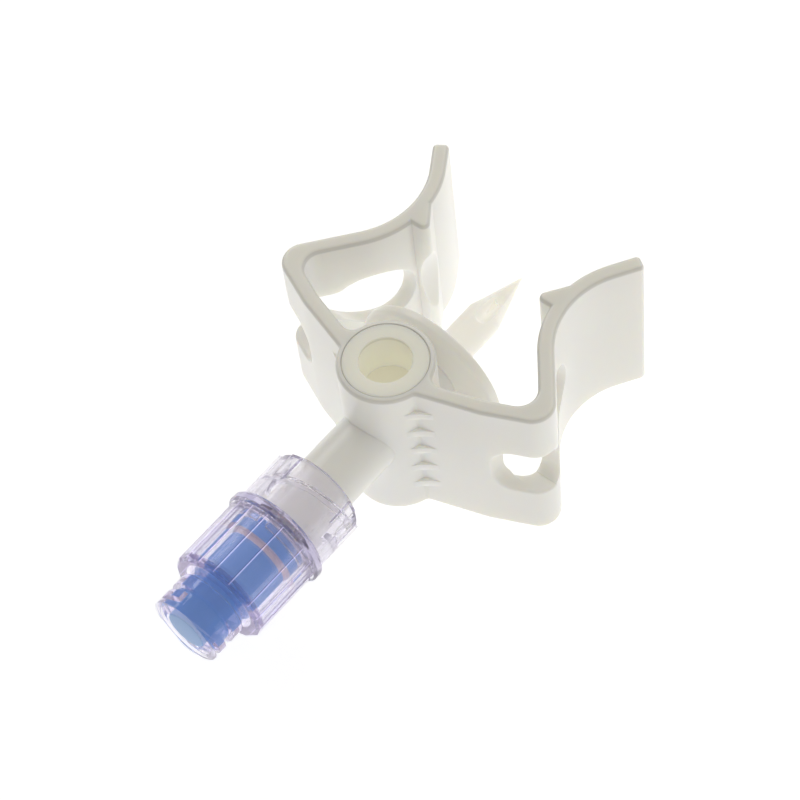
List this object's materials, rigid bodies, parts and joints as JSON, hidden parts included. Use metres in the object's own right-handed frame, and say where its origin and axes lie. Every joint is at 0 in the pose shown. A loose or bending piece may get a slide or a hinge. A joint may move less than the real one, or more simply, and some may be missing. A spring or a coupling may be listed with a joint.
{
  "type": "vented vial spike with needle free connector",
  "caption": "Vented vial access spike with two slotted clip arms and barbs, and a clear locking luer valve with a soft blue swab piston.",
  "frame": {"origin": "on the spike's axis, at the face of the stop disc that the vial's cap rests on", "axes": "+Y along the spike towards its tip, +X across the two clip arms, +Z out of the open vent port"},
  "size_m": [0.0346, 0.0575, 0.0199],
  "materials": {
    "clip_plastic": "smooth moulded off-white plastic, slightly translucent",
    "ring_plastic": "smooth moulded ivory plastic",
    "filter_membrane": "matt woven membrane",
    "clear_base": "clear polycarbonate with a faint violet tint",
    "clear_housing": "clear polycarbonate with a faint violet tint",
    "blue_silicone": "satin blue silicone"
  },
  "bodies": {
    "holder": {"clip_body": "clip_plastic", "vent_ring": "ring_plastic", "vent_filter": "filter_membrane", "valve_base": "clear_base", "valve_housing": "clear_housing"},
    "swab": {"valve_piston": "blue_silicone"}
  },
  "joints": [
    {"name": "piston_press", "type": "slide", "parent": "holder", "child": "swab", "axis": [0, 1, 0], "range_m": [0, 0.0035], "stiffness_N_per_m": 2500, "deforming": ["valve_piston"]}
  ]
}
